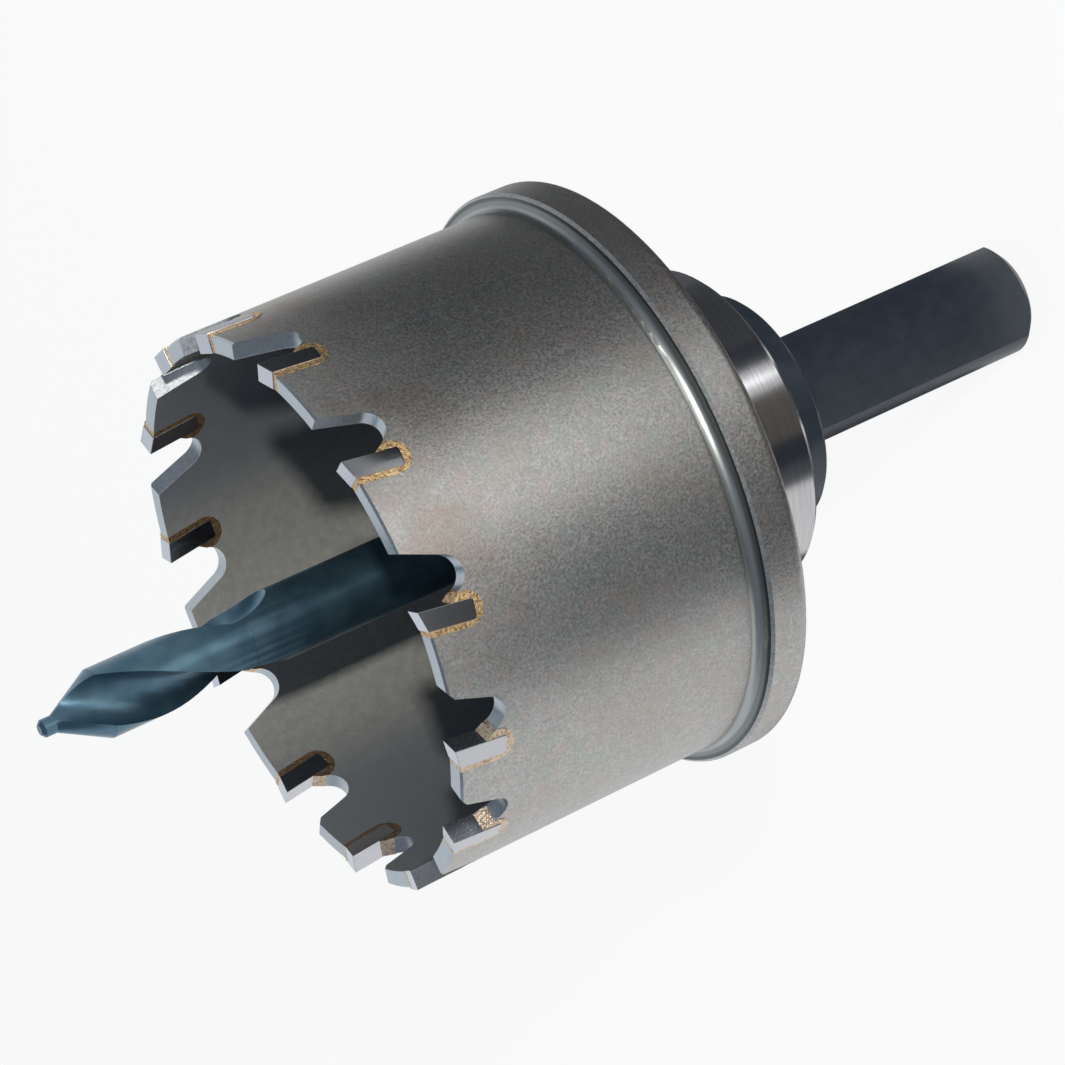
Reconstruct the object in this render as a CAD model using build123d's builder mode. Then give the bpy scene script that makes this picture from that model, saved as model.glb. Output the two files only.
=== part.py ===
# Hole saw with a turned steel cup, thirteen brazed carbide teeth, a screwed-in arbor
# with a three-flat shank, and a two-flute pilot drill.
# The tool stands on the end of its shank, teeth up. Z is its spin axis. Millimetres.
import os
from math import cos, radians, sin, tan

from build123d import *

os.makedirs("parts", exist_ok=True)

# Arbor: shank, flats and collar
shank_diameter = 10.0
shank_length = 26.7
shank_end_chamfer = 0.8
flat_count = 3
flat_depth = 0.56
flat_setback = 3.0
first_flat_angle = -27.5
collar_diameter = 20.5
collar_thickness = 3.9
collar_chamfer = 0.4
spigot_diameter = 12.0
spigot_stop_short = 0.6
spigot_chamfer = 0.5

# Cutter body: boss, brim and cup, turned as one piece
boss_diameter = 28.0
boss_thickness = 9.6
boss_chamfer = 0.45
brim_overhang = 1.4
brim_thickness = 3.75
brim_back_round = 0.9
brim_front_chamfer = 0.25
brim_root_fillet = 1.0
cup_diameter = 48.0
cup_wall = 1.5
cup_reach = 28.6
cup_floor_thickness = 4.9
floor_chamfer = 1.2
rim_chamfer = 0.18

# Teeth: angle of the first rake edge and the uneven steps from each tooth to the next
first_tooth_angle = -9.1
tooth_steps = (30.7, 28.9, 25.1, 24.5, 29.2, 28.1, 28.9, 29.3, 26.9, 27.8, 27.7, 24.7, 28.2)
radial_rake = 6.0
axial_rake = 8.0

# Gullet in front of each rake face, seen from outside the rim
gullet_depth = 4.5
gullet_radius = 1.55
gullet_centre_offset = 1.75
flank_angles = (22.5, 18.0, 23.0, 22.5, 22.5, 24.0, 23.5, 22.5, 17.0, 22.5, 22.5, 21.0, 20.0)
rake_length = 2.5
wall_foot_angle = 31.0
heel_chamfer = 0.5
chamfered_heels = (9, 10, 11, 12, 13)

# Carbide tips and the braze around them
tip_width = 1.65
tip_seat_length = 4.35
tip_corner_round = 0.25
tip_rise_at_rake = 0.38
tip_drop_at_back = 0.17
tip_proud_outside = 0.15
tip_proud_inside = 0.06
braze_gap_at_rake = 0.7
braze_gap_at_back = 0.5
slot_end_setback = 0.7
braze_bead = 0.06

# Pilot drill
drill_diameter = 6.0
drill_reach = 18.15
drill_socket_depth = 5.0
point_angle = 57.0
nib_diameter = 1.5
nib_length = 1.25
nib_chamfer = 0.3
flute_length = 11.9
flute_lead = 41.0
flute_circle_radius = 2.52
flute_angle_at_point = 0.0
web_thickness = 1.46
run_out_radius = 2.6
run_out_turn = 90.0
relieved_length = 12.8
land_relief = 0.05

# Grub screw that holds the drill
screw_diameter = 5.0
screw_angle = 190.0
screw_recess = 1.2
screw_flat_depth = 0.4
screw_flat_margin = 0.6
socket_across_flats = 2.5
socket_depth = 2.5
screw_chamfer = 0.4

# Clearances
spigot_clearance = 0.05
drill_clearance = 0.03
screw_clearance = 0.05

# Radii
cup_radius = cup_diameter / 2
cup_bore_radius = cup_radius - cup_wall
brim_radius = cup_radius + brim_overhang
spigot_radius = spigot_diameter / 2
body_bore_radius = spigot_radius + spigot_clearance
drill_radius = drill_diameter / 2
drill_bore_radius = drill_radius + drill_clearance
land_radius = drill_radius - land_relief
nib_radius = nib_diameter / 2
groove_radius = web_thickness / 2 + flute_circle_radius
screw_radius = screw_diameter / 2
screw_hole_radius = screw_radius + screw_clearance
screw_seat_radius = drill_radius - screw_flat_depth

# Stations along the spin axis
collar_back = shank_length
boss_back = collar_back + collar_thickness
brim_back = boss_back + boss_thickness
brim_front = brim_back + brim_thickness
rim = brim_front + cup_reach
cup_floor = brim_back + cup_floor_thickness
spigot_end = cup_floor - spigot_stop_short
drill_end = boss_back - drill_socket_depth
point_shoulder = rim + drill_reach
relief_start = point_shoulder - relieved_length
flute_start = point_shoulder - flute_length
nib_base = point_shoulder + (land_radius - nib_radius) / tan(radians(point_angle / 2))
nib_end = nib_base + nib_length
screw_height = boss_back + boss_thickness / 2

# Length by which a cutting shape overruns the piece that it cuts
overrun = 2.0

tooth_angles = [first_tooth_angle + sum(tooth_steps[:step]) for step in range(len(tooth_steps))]


def nearest_corner(sketch, x, y):
    return sketch.vertices().sort_by_distance((x, y))[0]


# Tooth profiles are drawn from outside, with their origin where the rake edge meets the rim.
# The square plane faces along the radius. The tooth plane is turned by the radial rake, and
# its upright leans by the axial rake.
rake_sin = sin(radians(radial_rake))
rake_cos = cos(radians(radial_rake))
lean_sin = sin(radians(axial_rake))
lean_cos = cos(radians(axial_rake))
square_plane = Plane(origin=(cup_radius, 0, rim), x_dir=(0, 1, 0), z_dir=(1, 0, 0))
tooth_plane = Plane(
    origin=(cup_radius, 0, rim),
    x_dir=(lean_cos * rake_sin, lean_cos * rake_cos, -lean_sin),
    z_dir=(rake_cos, -rake_sin, 0),
)
through_wall = cup_wall + overrun


# A point of the square plane as it is measured on the tooth plane
def leaned(x, y):
    return (x * lean_cos - y * lean_sin, x * lean_sin + y * lean_cos)


# Gullet: a wall in line with the rake face that slopes in below it, a round bottom, and the
# flank of the tooth ahead, whose heel is chamfered on some of the teeth
gullet_centre = (gullet_centre_offset, gullet_radius - gullet_depth)
wall_foot = (
    gullet_centre[0] - gullet_radius * cos(radians(wall_foot_angle)),
    gullet_centre[1] - gullet_radius * sin(radians(wall_foot_angle)),
)


def gullet_tool(flank_angle, heel=0):
    flank_touch = (
        gullet_centre[0] + gullet_radius * cos(radians(flank_angle)),
        gullet_centre[1] - gullet_radius * sin(radians(flank_angle)),
    )
    slope = tan(radians(flank_angle))
    flank_at_rim = flank_touch[0] - flank_touch[1] * slope
    heel_start = [(flank_at_rim - heel * slope, -heel)] if heel else []
    with BuildPart() as tool:
        with BuildSketch(tooth_plane):
            with BuildLine():
                Polyline(
                    (0, overrun),
                    (0, -rake_length),
                    leaned(*wall_foot),
                    leaned(*gullet_centre),
                    (leaned(*gullet_centre)[0], overrun),
                    close=True,
                )
            make_face()
        with BuildSketch(square_plane):
            with BuildLine():
                Polyline(
                    (gullet_centre[0], overrun),
                    gullet_centre,
                    flank_touch,
                    *heel_start,
                    (flank_at_rim + heel, 0),
                    (flank_at_rim + heel + overrun, overrun),
                    close=True,
                )
            make_face()
            with Locations(gullet_centre):
                Circle(gullet_radius)
        extrude(amount=through_wall, both=True)
    return tool.part


# Slot for the tip: open at the rim and round at its inner end
slot_width = braze_gap_at_back + tip_width + braze_gap_at_rake
slot_middle = braze_gap_at_rake - slot_width / 2
slot_round_centre = slot_end_setback - tip_seat_length
with BuildPart() as slot_cut:
    with BuildSketch(tooth_plane):
        with Locations((slot_middle, (slot_round_centre + overrun) / 2)):
            Rectangle(slot_width, overrun - slot_round_centre)
        with Locations((slot_middle, slot_round_centre)):
            Circle(slot_width / 2)
    extrude(amount=through_wall, both=True)

# Plane square to the grub screw, with its origin on the spin axis
screw_plane = Plane(
    origin=(0, 0, screw_height),
    x_dir=(0, 0, 1),
    z_dir=(cos(radians(screw_angle)), sin(radians(screw_angle)), 0),
)

# The turned body, with its bore, gullets and slots
with BuildPart() as cutter_body:
    with BuildSketch(Plane.XZ) as body_section:
        with BuildLine():
            Polyline(
                (body_bore_radius, boss_back),
                (boss_diameter / 2, boss_back),
                (boss_diameter / 2, brim_back),
                (brim_radius, brim_back),
                (brim_radius, brim_front),
                (cup_radius, brim_front),
                (cup_radius, rim),
                (cup_bore_radius, rim),
                (cup_bore_radius, cup_floor),
                (body_bore_radius, cup_floor),
                close=True,
            )
        make_face()
        chamfer(nearest_corner(body_section, boss_diameter / 2, boss_back), boss_chamfer)
        fillet(nearest_corner(body_section, brim_radius, brim_back), brim_back_round)
        chamfer(nearest_corner(body_section, brim_radius, brim_front), brim_front_chamfer)
        fillet(nearest_corner(body_section, cup_radius, brim_front), brim_root_fillet)
        chamfer(nearest_corner(body_section, cup_radius, rim), rim_chamfer)
        chamfer(nearest_corner(body_section, cup_bore_radius, cup_floor), floor_chamfer)
    revolve(axis=Axis.Z)
    for number, angle in enumerate(tooth_angles, start=1):
        heel = heel_chamfer if number in chamfered_heels else 0
        with Locations(Location((0, 0, 0), (0, 0, angle))):
            add(gullet_tool(flank_angles[number - 1], heel), mode=Mode.SUBTRACT)
            add(slot_cut.part, mode=Mode.SUBTRACT)
    with BuildSketch(screw_plane):
        Circle(screw_hole_radius)
    extrude(amount=boss_diameter, mode=Mode.SUBTRACT)
cutter_body.part.label = "cutter_body"
export_step(cutter_body.part, "parts/cutter_body.step")

# One carbide tip: a block in line with the rake, ground to a sloping end and a little proud of
# the wall on both sides
with BuildPart() as tip:
    with BuildSketch(tooth_plane.offset(-cup_wall - tip_proud_inside)) as tip_side:
        with BuildLine():
            Polyline(
                (0, -tip_seat_length),
                (0, tip_rise_at_rake),
                (-tip_width, -tip_drop_at_back),
                (-tip_width, -tip_seat_length),
                close=True,
            )
        make_face()
        for side in (0, -tip_width):
            fillet(nearest_corner(tip_side, side, -tip_seat_length), tip_corner_round)
    extrude(amount=cup_wall + tip_proud_inside + tip_proud_outside)

# The braze that fills the slot round the tip, curved with the wall
with BuildPart() as seam:
    with BuildSketch(Plane.XZ):
        with Locations(((cup_bore_radius + cup_radius + braze_bead) / 2, rim - gullet_depth)):
            Rectangle(cup_wall + braze_bead, 2 * gullet_depth)
    revolve(axis=Axis.Z)
    add(slot_cut.part, mode=Mode.INTERSECT)
    add(gullet_tool(flank_angles[0]), mode=Mode.SUBTRACT)
    add(tip.part, mode=Mode.SUBTRACT)

for number, angle in enumerate(tooth_angles, start=1):
    for stem, shape in (("carbide_tip", tip.part), ("braze_seam", seam.part)):
        placed = shape.rotate(Axis.Z, angle)
        placed.label = f"{stem}_{number:02d}"
        export_step(placed, f"parts/{placed.label}.step")

# Arbor: shank with three flats, collar, and the spigot that screws into the boss
with BuildPart() as arbor:
    with BuildSketch(Plane.XZ) as arbor_section:
        with BuildLine():
            Polyline(
                (0, 0),
                (shank_diameter / 2, 0),
                (shank_diameter / 2, collar_back),
                (collar_diameter / 2, collar_back),
                (collar_diameter / 2, boss_back),
                (spigot_radius, boss_back),
                (spigot_radius, spigot_end),
                (0, spigot_end),
                close=True,
            )
        make_face()
        chamfer(nearest_corner(arbor_section, shank_diameter / 2, 0), shank_end_chamfer)
        chamfer(nearest_corner(arbor_section, collar_diameter / 2, collar_back), collar_chamfer)
        chamfer(nearest_corner(arbor_section, spigot_radius, spigot_end), spigot_chamfer)
    revolve(axis=Axis.Z)
    with BuildSketch(Plane.XY):
        with PolarLocations(shank_diameter - flat_depth, flat_count, start_angle=first_flat_angle):
            Rectangle(shank_diameter, shank_diameter)
    extrude(amount=shank_length - flat_setback, mode=Mode.SUBTRACT)
    with BuildSketch(Plane.XY.offset(drill_end)):
        Circle(drill_bore_radius)
    extrude(amount=spigot_end - drill_end, mode=Mode.SUBTRACT)
    with BuildSketch(screw_plane):
        Circle(screw_hole_radius)
    extrude(amount=boss_diameter, mode=Mode.SUBTRACT)
arbor.part.label = "arbor"
export_step(arbor.part, "parts/arbor.step")

# Flutes of the drill: two round grooves that twist right-handed up to the point. Below, each
# runs out on a curve, straight down the drill, as a grinding wheel leaves it.
flute_span = nib_end + overrun - flute_start
flute_start_angle = flute_angle_at_point - 360 * flute_length / flute_lead
wheel_axis = Axis((groove_radius + run_out_radius, 0, flute_start), (0, -1, 0))
with BuildPart() as run_out:
    with BuildSketch(Plane.XY.offset(flute_start)):
        with Locations((groove_radius, 0)):
            Circle(flute_circle_radius)
    revolve(axis=wheel_axis, revolution_arc=run_out_turn)

with BuildPart() as flute_cut:
    with BuildLine() as flute_path:
        Line((0, 0, flute_start), (0, 0, flute_start + flute_span))
    with BuildSketch(Plane.XY.offset(flute_start)):
        with PolarLocations(groove_radius, 2, start_angle=flute_start_angle):
            Circle(flute_circle_radius)
    twist = Helix(flute_lead, flute_span, drill_radius, center=(0, 0, flute_start), mode=Mode.PRIVATE)
    sweep(path=flute_path.line, binormal=twist)
    with PolarLocations(0, 2, start_angle=flute_start_angle):
        add(run_out.part)

# Pilot drill: its fluted end is relieved a little, its point ends in a small nib, and its
# shank has a flat for the grub screw
with BuildPart() as pilot_drill:
    with BuildSketch(Plane.XZ) as drill_section:
        with BuildLine():
            Polyline(
                (0, drill_end),
                (drill_radius, drill_end),
                (drill_radius, relief_start),
                (land_radius, relief_start),
                (land_radius, point_shoulder),
                (nib_radius, nib_base),
                (nib_radius, nib_end),
                (0, nib_end),
                close=True,
            )
        make_face()
        chamfer(nearest_corner(drill_section, nib_radius, nib_end), nib_chamfer)
    revolve(axis=Axis.Z)
    add(flute_cut.part, mode=Mode.SUBTRACT)
    with BuildSketch(screw_plane.offset(screw_seat_radius)):
        Rectangle(screw_diameter + 2 * screw_flat_margin, drill_diameter)
    extrude(amount=drill_radius, mode=Mode.SUBTRACT)
pilot_drill.part.label = "pilot_drill"
export_step(pilot_drill.part, "parts/pilot_drill.step")

# Grub screw with a hexagon socket, sunk in the side of the boss
screw_length = boss_diameter / 2 - screw_recess - screw_seat_radius
with BuildPart() as grub_screw:
    with BuildSketch(screw_plane.offset(screw_seat_radius)):
        Circle(screw_radius)
    extrude(amount=screw_length)
    chamfer(grub_screw.edges().filter_by(GeomType.CIRCLE), screw_chamfer)
    with BuildSketch(screw_plane.offset(screw_seat_radius + screw_length)):
        RegularPolygon(socket_across_flats / 2, 6, major_radius=False)
    extrude(amount=-socket_depth, mode=Mode.SUBTRACT)
grub_screw.part.label = "grub_screw"
export_step(grub_screw.part, "parts/grub_screw.step")
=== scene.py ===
from math import cos, hypot, radians, sin

import bmesh
import bpy
from mathutils import Matrix, Vector


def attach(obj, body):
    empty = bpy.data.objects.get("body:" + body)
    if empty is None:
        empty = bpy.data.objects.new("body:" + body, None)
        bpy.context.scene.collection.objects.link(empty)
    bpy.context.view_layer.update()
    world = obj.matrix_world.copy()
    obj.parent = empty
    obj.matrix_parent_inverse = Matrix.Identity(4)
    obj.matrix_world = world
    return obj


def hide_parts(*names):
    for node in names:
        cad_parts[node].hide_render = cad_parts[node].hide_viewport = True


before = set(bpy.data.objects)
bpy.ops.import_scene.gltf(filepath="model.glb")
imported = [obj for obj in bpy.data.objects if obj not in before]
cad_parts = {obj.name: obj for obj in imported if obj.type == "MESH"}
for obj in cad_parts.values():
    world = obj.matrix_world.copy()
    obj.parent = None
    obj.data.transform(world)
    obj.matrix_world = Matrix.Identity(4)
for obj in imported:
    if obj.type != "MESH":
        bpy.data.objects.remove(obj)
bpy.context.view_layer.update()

# Camera: a long lens that looks down on the teeth from the front and is rolled over on its
# side, so that the tool lies across the picture with its drill to the lower left.
MM = 0.001
VIEW_TILT = 24.754
VIEW_ROLL = -114.436
CAMERA_PLACE = Vector((299.45, -1.85, 188.67)) * MM
SENSOR_WIDTH = 36.0
FOCAL_SHARE = 4000 / 1065

camera_data = bpy.data.cameras.new("photo_view")
camera_data.sensor_width = SENSOR_WIDTH
camera_data.lens = SENSOR_WIDTH * FOCAL_SHARE
camera = bpy.data.objects.new("photo_view", camera_data)
bpy.context.scene.collection.objects.link(camera)
camera.matrix_world = (
    Matrix.Translation(CAMERA_PLACE)
    @ Matrix.Rotation(radians(90), 4, "Z")
    @ Matrix.Rotation(radians(90 - VIEW_TILT), 4, "X")
    @ Matrix.Rotation(radians(VIEW_ROLL), 4, "Z")
)
bpy.context.scene.camera = camera
bpy.context.scene.view_settings.view_transform = "Standard"


# Floor: a wide pale table that the tool stands on, of matt painted board. It shows nearly
# white, also in the metal, and keeps a faint shadow.
FLOOR_RADIUS = 3.0
FLOOR_SIDES = 96
FLOOR_SHADOW_SHARE = 0.10
NEARLY_UPRIGHT = (0.9985, 0.9996)


class Wire:
    """One output of a node. Sums and products written on it add Math nodes."""

    def __init__(self, finish, node, output=0):
        self.finish, self.node, self.socket = finish, node, node.outputs[output]

    def out(self, output):
        return Wire(self.finish, self.node, output)

    def maths(self, operation, first, second=0.0):
        return self.finish.node("Math", {"operation": operation}, {0: first, 1: second})

    def __add__(self, other):
        return self.maths("ADD", self, other)

    def __sub__(self, other):
        return self.maths("SUBTRACT", self, other)

    def __rsub__(self, other):
        return self.maths("SUBTRACT", other, self)

    def __mul__(self, other):
        return self.maths("MULTIPLY", self, other)

    __radd__ = __add__
    __rmul__ = __mul__

    def magnitude(self):
        return self.maths("ABSOLUTE", self)

    def sign(self):
        return self.maths("SIGN", self)

    def bigger(self, other):
        return self.maths("MAXIMUM", self, other)

    def rise(self, low, high):
        """0 below low, 1 above high and a smooth rise between them."""
        settings = {"interpolation_type": "SMOOTHSTEP"}
        sockets = {"Value": self, "From Min": low, "From Max": high}
        return self.finish.node("MapRange", settings, sockets)


class Tree:
    """A node tree whose nodes are made in one call each."""

    def __init__(self, tree):
        self.tree = tree

    def plug(self, node, sockets):
        for key, value in sockets.items():
            if isinstance(value, Wire):
                self.tree.links.new(value.socket, node.inputs[key])
            else:
                node.inputs[key].default_value = value

    def node(self, kind, settings, sockets, output=0):
        made = self.tree.nodes.new("ShaderNode" + kind)
        for key, value in settings.items():
            setattr(made, key, value)
        self.plug(made, sockets)
        return Wire(self, made, output)

    def blend(self, share, first, second):
        """A colour between two: the second where share is 1."""
        return self.node("Mix", {"data_type": "RGBA"}, {0: share, 6: first, 7: second}, 2)


class Finish(Tree):
    """A material for a surface of the tool, with its place on the tool in millimetres."""

    def __init__(self, name, sockets):
        self.material = bpy.data.materials.new(name)
        self.material.use_nodes = True
        super().__init__(self.material.node_tree)
        self.shader = self.tree.nodes["Principled BSDF"]
        self.plug(self.shader, sockets)

    def locate(self):
        """Where a point lies, how far from the spin axis, and how its surface faces."""
        metres = self.node("TexCoord", {}, {}, "Object")
        self.place = self.node("VectorMath", {"operation": "SCALE"}, {0: metres, "Scale": 1 / MM})
        self.x = self.node("SeparateXYZ", {}, {0: self.place})
        self.y, self.z = self.x.out("Y"), self.x.out("Z")
        flat = self.node("CombineXYZ", {}, {"X": self.x, "Y": self.y})
        self.radius = self.node("VectorMath", {"operation": "LENGTH"}, {0: flat}, "Value")
        outward = self.node("VectorMath", {"operation": "NORMALIZE"}, {0: flat})
        facing = self.node("NewGeometry", {}, {}, "Normal")
        both = {0: facing, 1: outward}
        self.face_out = self.node("VectorMath", {"operation": "DOT_PRODUCT"}, both, "Value")
        # Walls that stand upright are truly round, so their normals come from the axis.
        side = self.face_out.sign()
        square = self.node("VectorMath", {"operation": "SCALE"}, {0: outward, "Scale": side})
        upright = self.face_out.magnitude().rise(*NEARLY_UPRIGHT)
        choice = {0: upright, 4: facing, 5: square}
        self.turned_normal = self.node("Mix", {"data_type": "VECTOR"}, choice, 1)

    def stretched(self, x, y, z):
        return self.node("VectorMath", {"operation": "MULTIPLY"}, {0: self.place, 1: (x, y, z)})

    def grain(self, size, detail=2.0, rough=0.5, place=None):
        """Noise from 0 to 1 with features of that size in millimetres."""
        sockets = {"Vector": place or self.place, "Scale": 1 / size}
        return self.node("TexNoise", {}, {**sockets, "Detail": detail, "Roughness": rough})

    def bump(self, height, depth, strength):
        """Hills and dips in the surface, depth millimetres deep."""
        sockets = {"Height": height, "Distance": depth * MM, "Strength": strength}
        relief = self.node("Bump", {}, {**sockets, "Normal": self.turned_normal})
        self.plug(self.shader, {"Normal": relief})


def into_scene(name, mesh, material):
    mesh.materials.append(material)
    piece = bpy.data.objects.new(name, mesh)
    bpy.context.scene.collection.objects.link(piece)
    return piece


floor_mesh = bpy.data.meshes.new("floor")
disc = bmesh.new()
bmesh.ops.create_circle(disc, cap_ends=True, segments=FLOOR_SIDES, radius=FLOOR_RADIUS)
disc.to_mesh(floor_mesh)
disc.free()
table = Finish("pale_table", {"Base Color": (0.97, 0.98, 0.98, 1.0), "Specular IOR Level": 0.0})
path = table.node("LightPath", {}, {}, "Is Camera Ray")
seen = path.bigger(path.out("Is Glossy Ray")).bigger(path.out("Is Transmission Ray"))
white = table.node("Emission", {}, {"Color": (1.0, 1.0, 1.0, 1.0), "Strength": 1.0})
surface = Wire(table, table.shader)
shown = table.node("MixShader", {}, {0: seen * (1 - FLOOR_SHADOW_SHARE), 1: surface, 2: white})
table.plug(table.tree.nodes["Material Output"], {"Surface": shown})
floor = into_scene("floor", floor_mesh, table.material)

# Cards: bent sheets of grey and dark board round the foot of the tool, which show only in the
# metal and give it its dark sides. Each has its turn round the axis in degrees, its outline as
# (out, up) in millimetres, and its colour.
CARD_STEPS = 40
APRON = ((10, 0.5), (44, 1), (58, 5), (65, 15))
CARDS = {
    "lilac_apron": ((-56, -42), APRON, (0.17, 0.17, 0.18, 1.0)),
    "black_apron": ((-42, -26), APRON, (0.07, 0.076, 0.098, 1.0)),
    "brown_apron": ((-26, 6), APRON, (0.26, 0.225, 0.185, 1.0)),
    "lamp_apron": ((6, 22), ((10, 0.5), (44, 1), (57, 4)), (0.14, 0.14, 0.14, 1.0)),
    "blue_apron": ((22, 38), APRON, (0.07, 0.075, 0.09, 1.0)),
    "mid_apron": ((38, 98), APRON, (0.135, 0.135, 0.14, 1.0)),
    "left_apron": ((98, 134), APRON, (0.21, 0.21, 0.215, 1.0)),
    "side_apron": ((134, 240), APRON, (0.15, 0.15, 0.155, 1.0)),
    "low_card": ((-56, 27), ((65, 15), (68, 24)), (0.12, 0.12, 0.12, 1.0)),
    "grey_card": ((-56, -4), ((68, 24), (70, 45)), (0.42, 0.42, 0.42, 1.0)),
    "top_card": ((-56, -4), ((70, 45), (71, 55)), (0.18, 0.18, 0.18, 1.0)),
    "dark_card": ((29, 122), ((66, 15), (70, 30), (71, 58)), (0.15, 0.15, 0.15, 1.0)),
}

for name, ((start, end), profile, board_colour) in CARDS.items():
    sheet = bmesh.new()
    edge = None
    for step in range(CARD_STEPS + 1):
        turn = radians(start + (end - start) * step / CARD_STEPS)
        row = [
            sheet.verts.new((cos(turn) * out * MM, sin(turn) * out * MM, up * MM))
            for out, up in profile
        ]
        if edge:
            for low in range(len(row) - 1):
                sheet.faces.new((edge[low], row[low], row[low + 1], edge[low + 1]))
        edge = row
    card_mesh = bpy.data.meshes.new(name)
    sheet.to_mesh(card_mesh)
    sheet.free()
    board = Finish(name, {"Base Color": board_colour, "Specular IOR Level": 0.0})
    card = into_scene(name, card_mesh, board.material)
    card.visible_camera = card.visible_diffuse = card.visible_shadow = False


# Lamps: a small bright box in front, about 20 degrees up, and beside the tool a low strip and
# a side panel that put the soft streaks on the steel. The room is pale behind the tool and
# darker in front and overhead.
def hang_lamp(name, place, target, width, height, watts, colour):
    light = bpy.data.lights.new(name, "AREA")
    light.shape, light.size, light.size_y = "RECTANGLE", width, height
    light.energy, light.color = watts, colour
    lamp = bpy.data.objects.new(name, light)
    bpy.context.scene.collection.objects.link(lamp)
    lamp.location = place
    lamp.rotation_euler = (Vector(target) - Vector(place)).to_track_quat("-Z", "Y").to_euler()
    lamp.visible_camera = False


hang_lamp("key_box", (0.558, 0.078, 0.265), (0, 0, 0.06), 0.026, 0.026, 2.3, (1.0, 0.97, 0.91))
hang_lamp(
    "low_strip", (0.0553, 0.0138, 0.013), (0, 0, 0.033), 0.004, 0.012, 0.0003, (1.0, 1.0, 1.0)
)
hang_lamp(
    "side_panel", (0.075, 0.012, 0.046), (0, 0, 0.05), 0.04, 0.034, 0.0016, (1.0, 0.97, 0.93)
)

PALE_BACK = (0.88, 0.94, 1.0, 1.0)
DARK_FRONT = (0.20, 0.23, 0.28, 1.0)

world = bpy.data.worlds.new("studio")
world.use_nodes = True
room = Tree(world.node_tree)
heading = room.node("TexCoord", {}, {}, "Generated")
ahead = room.node("SeparateXYZ", {}, {0: heading})
to_front = (ahead + ahead.out("Z") * 0.7).rise(-0.35, 0.3)
wall_colour = room.blend(to_front, PALE_BACK, DARK_FRONT)
room.plug(room.tree.nodes["Background"], {"Color": wall_colour, "Strength": 1.0})
bpy.context.scene.world = world

# Cutter body: hub, brim and cup turned from one bar of steel. The cup and the brim are blasted
# to a fine even grain, the hub is polished on the lathe, and the gullets are milled.
HUB_RADIUS = 14.3
BRIM_BACK = 40.2
BRIM_FRONT = 43.95
BRIM_CHAMFER_FROM = 25.15
CUP_RADIUS = 24.0
CUP_FLOOR = 45.0
BORE_RADIUS = 22.6
GULLETS_FROM = 67.6
MIDDLE_VALUES = (0.3, 0.7)
BLASTED_ROUGHNESS = 0.43
CORNER_ROUGHNESS = 0.34
POLISHED_ROUGHNESS = 0.19


def rgb(red, green, blue):
    """A linear colour from the way it looks on a screen, 0 to 255."""
    return tuple((value / 255) ** 2.2 for value in (red, green, blue)) + (1.0,)


steel = Finish("cup_steel", {})
steel.locate()
fine = steel.grain(0.24, 3.0, 0.7)
blotch = steel.grain(0.8, 3.0, 0.7)
cloud = steel.grain(7.0, 3.0)
tint = steel.grain(1.6, 2.0, 0.6, steel.stretched(1.0, 1.0, 1.1))
rings = steel.grain(0.09, 3.0, 0.6, steel.stretched(0.02, 0.02, 1.0))

# Each mask is 1 on its own part of the body: the turned corner by the brim, the hub, the
# inside of the cup, and the walls of the gullets.
corner = steel.z.rise(BRIM_FRONT - 0.2, BRIM_FRONT - 0.1)
corner = corner * (1 - steel.z.rise(BRIM_FRONT + 0.9, BRIM_FRONT + 1.3))
corner = corner * steel.radius.rise(CUP_RADIUS - 0.1, CUP_RADIUS - 0.05)
corner = corner * (1 - steel.radius.rise(BRIM_CHAMFER_FROM - 0.04, BRIM_CHAMFER_FROM))
hub = 1 - steel.z.rise(BRIM_BACK - 0.3, BRIM_BACK - 0.1)
hub = hub * (1 - steel.radius.rise(HUB_RADIUS, HUB_RADIUS + 0.2))
inside = 1 - steel.radius.rise(BORE_RADIUS - 0.1, BORE_RADIUS)
inside = inside * steel.z.rise(CUP_FLOOR - 0.2, CUP_FLOOR)
milled = 1 - steel.face_out.magnitude().rise(0.75, 0.9)
milled = milled * steel.z.rise(GULLETS_FROM, GULLETS_FROM + 0.2)

blasted_colour = steel.blend(fine.rise(*MIDDLE_VALUES), rgb(155, 155, 154), rgb(198, 197, 195))
blasted_colour = steel.blend(blotch.rise(0.35, 0.7) * 0.4, blasted_colour, rgb(160, 159, 156))
pink = tint.rise(0.5, 0.75) * 0.45
green = (1 - tint.rise(0.25, 0.5)) * 0.45
blasted_colour = steel.blend(pink, blasted_colour, rgb(192, 174, 168))
blasted_colour = steel.blend(green, blasted_colour, rgb(166, 180, 170))
# Brown patches near the upper teeth.
brown_patches = steel.z.rise(58.0, 68.0) * (1 - cloud.rise(0.35, 0.6)) * steel.y.rise(-14.0, -4.0)
blasted_colour = steel.blend(brown_patches * 0.45, blasted_colour, rgb(152, 134, 120))
blasted_colour = steel.blend(cloud.rise(0.5, 0.7) * 0.3, blasted_colour, rgb(178, 166, 154))

polished_colour = steel.blend(rings.rise(*MIDDLE_VALUES), rgb(176, 176, 178), rgb(196, 196, 198))
turned_colour = steel.blend(rings.rise(*MIDDLE_VALUES), rgb(158, 161, 159), rgb(174, 177, 175))
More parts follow.
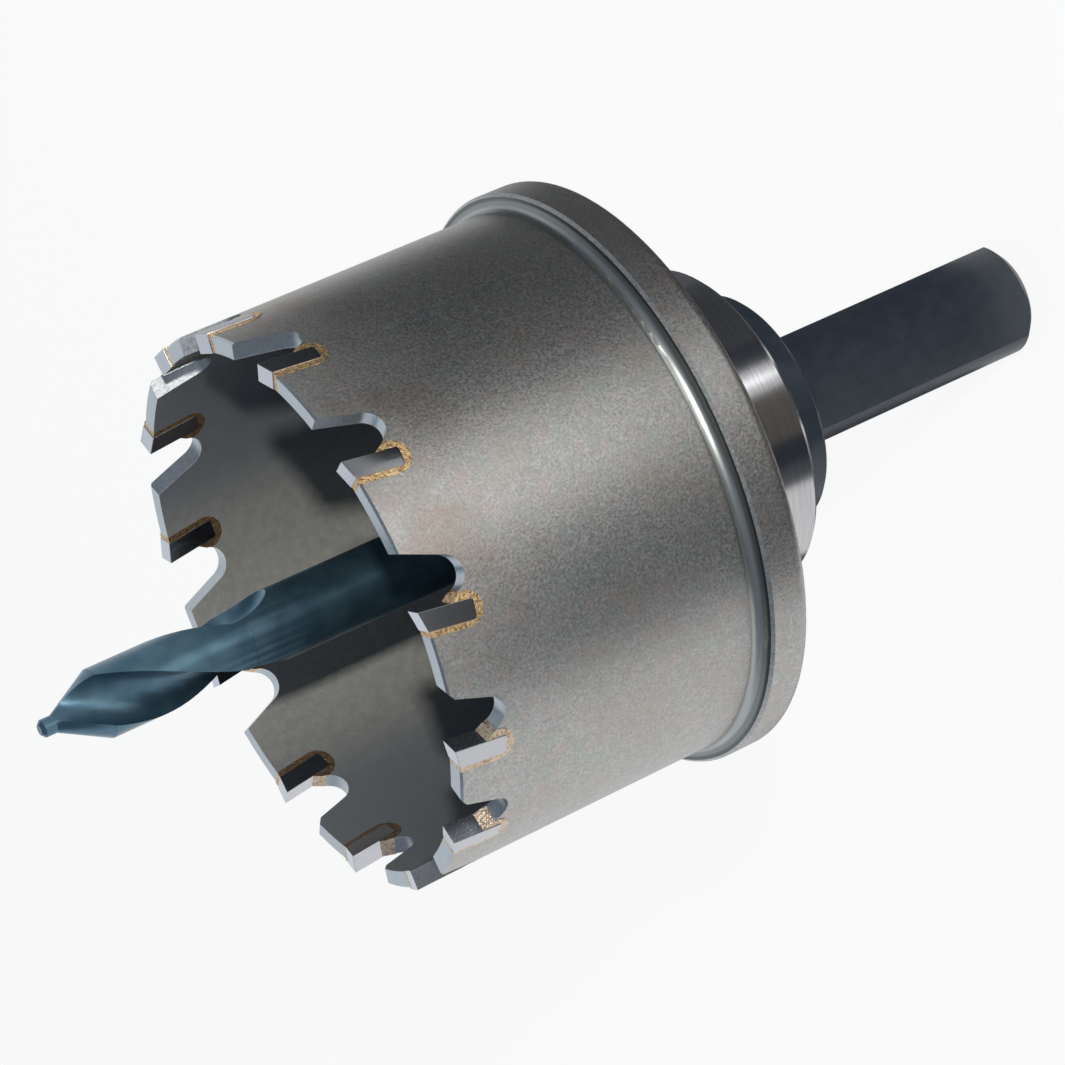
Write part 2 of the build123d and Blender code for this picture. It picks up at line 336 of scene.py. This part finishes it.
# Painted shade: the corner is toned darker away from the wall, in place of the shade and dark
# reflections that fall there.
corner_painted_shade = steel.radius.rise(CUP_RADIUS + 0.25, CUP_RADIUS + 0.5)
corner_deepest_painted_shade = steel.radius.rise(CUP_RADIUS + 0.7, CUP_RADIUS + 0.95)
corner_painted_shade_colour = steel.blend(corner_deepest_painted_shade, rgb(128, 131, 126), rgb(92, 96, 95))
turned_colour = steel.blend(corner_painted_shade, turned_colour, corner_painted_shade_colour)
milled_colour = steel.blend(fine.rise(*MIDDLE_VALUES), rgb(166, 171, 175), rgb(180, 185, 188))
inside_colour = steel.blend(blotch.rise(*MIDDLE_VALUES), rgb(152, 152, 149), rgb(164, 163, 158))
# Painted shade: the inside is toned darker towards both sides.
inside_painted_shade = steel.y.magnitude().rise(9.0, 15.0) * 0.8
inside_colour = steel.blend(inside_painted_shade, inside_colour, rgb(120, 126, 132))

colour = steel.blend(inside, blasted_colour, inside_colour)
colour = steel.blend(milled, colour, milled_colour)
colour = steel.blend(corner, colour, turned_colour)
colour = steel.blend(hub, colour, polished_colour)
roughness = BLASTED_ROUGHNESS + (fine - 0.5) * 0.3 + (blotch - 0.5) * 0.08 + (cloud - 0.5) * 0.06
roughness = roughness + inside * 0.08 - milled * 0.1
roughness = roughness * (1 - corner) + corner * CORNER_ROUGHNESS
roughness = roughness * (1 - hub) + hub * (POLISHED_ROUGHNESS + (rings - 0.5) * 0.06)
matt = 1 - corner.bigger(hub)
height = (fine + blotch * 0.5) * matt * (1 - milled * 0.8) + rings * (hub * 0.08)
metal = 1 - inside * 0.5
steel.plug(steel.shader, {"Base Color": colour, "Roughness": roughness, "Metallic": metal})
steel.bump(height, 0.034, 0.6)
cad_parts["cutter_body"].material_slots[0].material = steel.material

# Carbide tips: sintered blocks, brazed in and then ground with the cutter. They stand a little
# proud of the wall on both sides, and their edges are honed.
TIP_OUTSIDE = 24.14
TIP_INSIDE = 22.44
WALL_MIDDLE = 23.25
HONED_EDGE = 0.035
WELD_DISTANCE = 0.002
FLAT_WITHIN = radians(1)
SHARP_FROM = radians(30)

carbide = Finish("carbide", {"Metallic": 1.0})
carbide.locate()
speck = carbide.grain(0.1, 3.0, 0.6)
scratch = carbide.grain(0.05, 2.0, 0.5, carbide.stretched(1.0, 1.0, 0.1))
skin = carbide.face_out.magnitude().rise(0.8, 0.9)
scratched = scratch.rise(*MIDDLE_VALUES)
ground_colour = carbide.blend(scratched, rgb(188, 189, 194), rgb(202, 203, 207))
skin_colour = carbide.blend(speck.rise(*MIDDLE_VALUES), rgb(118, 119, 121), rgb(128, 129, 131))
# Painted highlight: the outer faces of the lower teeth are toned brighter.
lower_teeth_painted_highlight = 1 - carbide.y.rise(-14.0, -7.0)
skin_colour = carbide.blend(lower_teeth_painted_highlight, skin_colour, rgb(190, 191, 195))
carbide_colour = carbide.blend(skin, ground_colour, skin_colour)
carbide_rough = 0.28 - skin * 0.04 + (speck - 0.5) * 0.1
carbide.plug(carbide.shader, {"Base Color": carbide_colour, "Roughness": carbide_rough})
carbide.bump(speck * 0.2 + scratch * 0.3, 0.006, 0.5)

for name in [name for name in sorted(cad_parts) if name.startswith("carbide_tip")]:
    block = bmesh.new()
    block.from_mesh(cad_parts[name].data)
    bmesh.ops.remove_doubles(block, verts=block.verts, dist=WELD_DISTANCE * MM)
    bmesh.ops.dissolve_limit(
        block, angle_limit=FLAT_WITHIN, verts=block.verts, edges=block.edges
    )
    for corner in block.verts:
        out = hypot(corner.co.x, corner.co.y)
        share = (TIP_OUTSIDE if out > WALL_MIDDLE * MM else TIP_INSIDE) * MM / out
        corner.co.x, corner.co.y = corner.co.x * share, corner.co.y * share
    sharp = [edge for edge in block.edges if edge.calc_face_angle(0) > SHARP_FROM]
    bmesh.ops.bevel(
        block, geom=sharp, offset=HONED_EDGE * MM, segments=2, profile=0.5, affect="EDGES"
    )
    block_mesh = bpy.data.meshes.new("honed_" + name)
    block.to_mesh(block_mesh)
    block.free()
    tooth = into_scene("honed_" + name, block_mesh, carbide.material)
    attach(tooth, "root")
    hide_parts(name)

# Braze: bronze-coloured filler that was melted into the slot round each tip. It set with a
# grainy skin, crept a little over the wall, and is browner inside the cup.
braze = Finish("braze", {"Metallic": 1.0})
braze.locate()
crumbs = braze.grain(0.24, 3.0, 0.65)
stains = braze.grain(0.7, 2.0)
# The braze of the lower teeth is toned paler, as it looks in the photo.
pale = 1 - braze.y.rise(-16.0, -6.0)
gold = braze.blend(crumbs.rise(0.3, 0.6), rgb(142, 106, 74), rgb(236, 203, 152))
paler_braze_colour = braze.blend(crumbs.rise(0.3, 0.6), rgb(172, 150, 130), rgb(222, 206, 188))
braze_colour = braze.blend(pale * 0.8, gold, paler_braze_colour)
braze_colour = braze.blend(stains.rise(0.5, 0.75) * 0.5, braze_colour, rgb(150, 126, 106))
behind = 1 - braze.face_out.rise(-0.3, 0.1)
braze_colour = braze.blend(behind * 0.6, braze_colour, rgb(146, 112, 82))
braze.plug(braze.shader, {"Base Color": braze_colour, "Roughness": 0.42 + (crumbs - 0.5) * 0.3})
braze.bump(crumbs, 0.08, 0.9)
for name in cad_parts:
    if name.startswith("braze_seam"):
        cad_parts[name].material_slots[0].material = braze.material

# Arbor: a turned steel shank with a collar, chemically blackened and lightly oiled, so that it
# is blue-black with a soft gloss.
COLLAR_BACK = 26.7

oxide = Finish("black_oxide", {"IOR": 1.5})
oxide.locate()
turning = oxide.grain(0.12, 2.0, 0.5, oxide.stretched(0.03, 0.03, 1.0))
mottle = oxide.grain(1.6, 4.0, 0.6)
collar = oxide.z.rise(COLLAR_BACK - 0.1, COLLAR_BACK + 0.1)
oxide_colour = oxide.blend(mottle.rise(0.35, 0.7), rgb(39, 47, 56), rgb(45, 53, 62))
oxide_rough = 0.4 + (mottle - 0.5) * 0.06 + (turning - 0.5) * 0.1 - collar * 0.05
oxide.plug(oxide.shader, {"Base Color": oxide_colour, "Roughness": oxide_rough})
oxide.bump(turning * 0.6 + mottle * 0.4, 0.01, 0.5)
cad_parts["arbor"].material_slots[0].material = oxide.material

# Pilot drill: ground high-speed steel, steamed to a cloudy blue-black skin, and held in the
# arbor by the grub screw. Its grinding marks stretch the gloss.
blue = Finish("drill_steel", {"Metallic": 0.85, "Anisotropic": 0.4, "Anisotropic Rotation": 0.25})
blue.locate()
haze = blue.grain(2.5, 2.0, 0.5)
blue_colour = blue.blend(haze.rise(*MIDDLE_VALUES), rgb(76, 103, 120), rgb(92, 121, 136))
blue_rough = 0.3 + (haze - 0.5) * 0.05
blue.plug(blue.shader, {"Base Color": blue_colour, "Roughness": blue_rough})
blue.plug(blue.shader, {"Normal": blue.turned_normal})
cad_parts["pilot_drill"].material_slots[0].material = blue.material

# Grub screw: a blackened steel socket screw in the side of the hub. It is screwed in against
# the drill and pins it.
black = Finish("screw_black", {})
black.locate()
bite = black.grain(0.3, 3.0, 0.6)
black_colour = black.blend(bite, rgb(34, 36, 40), rgb(58, 60, 64))
black.plug(black.shader, {"Base Color": black_colour, "Roughness": 0.35 + bite * 0.2})
black.bump(bite, 0.01, 0.5)
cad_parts["grub_screw"].material_slots[0].material = black.material
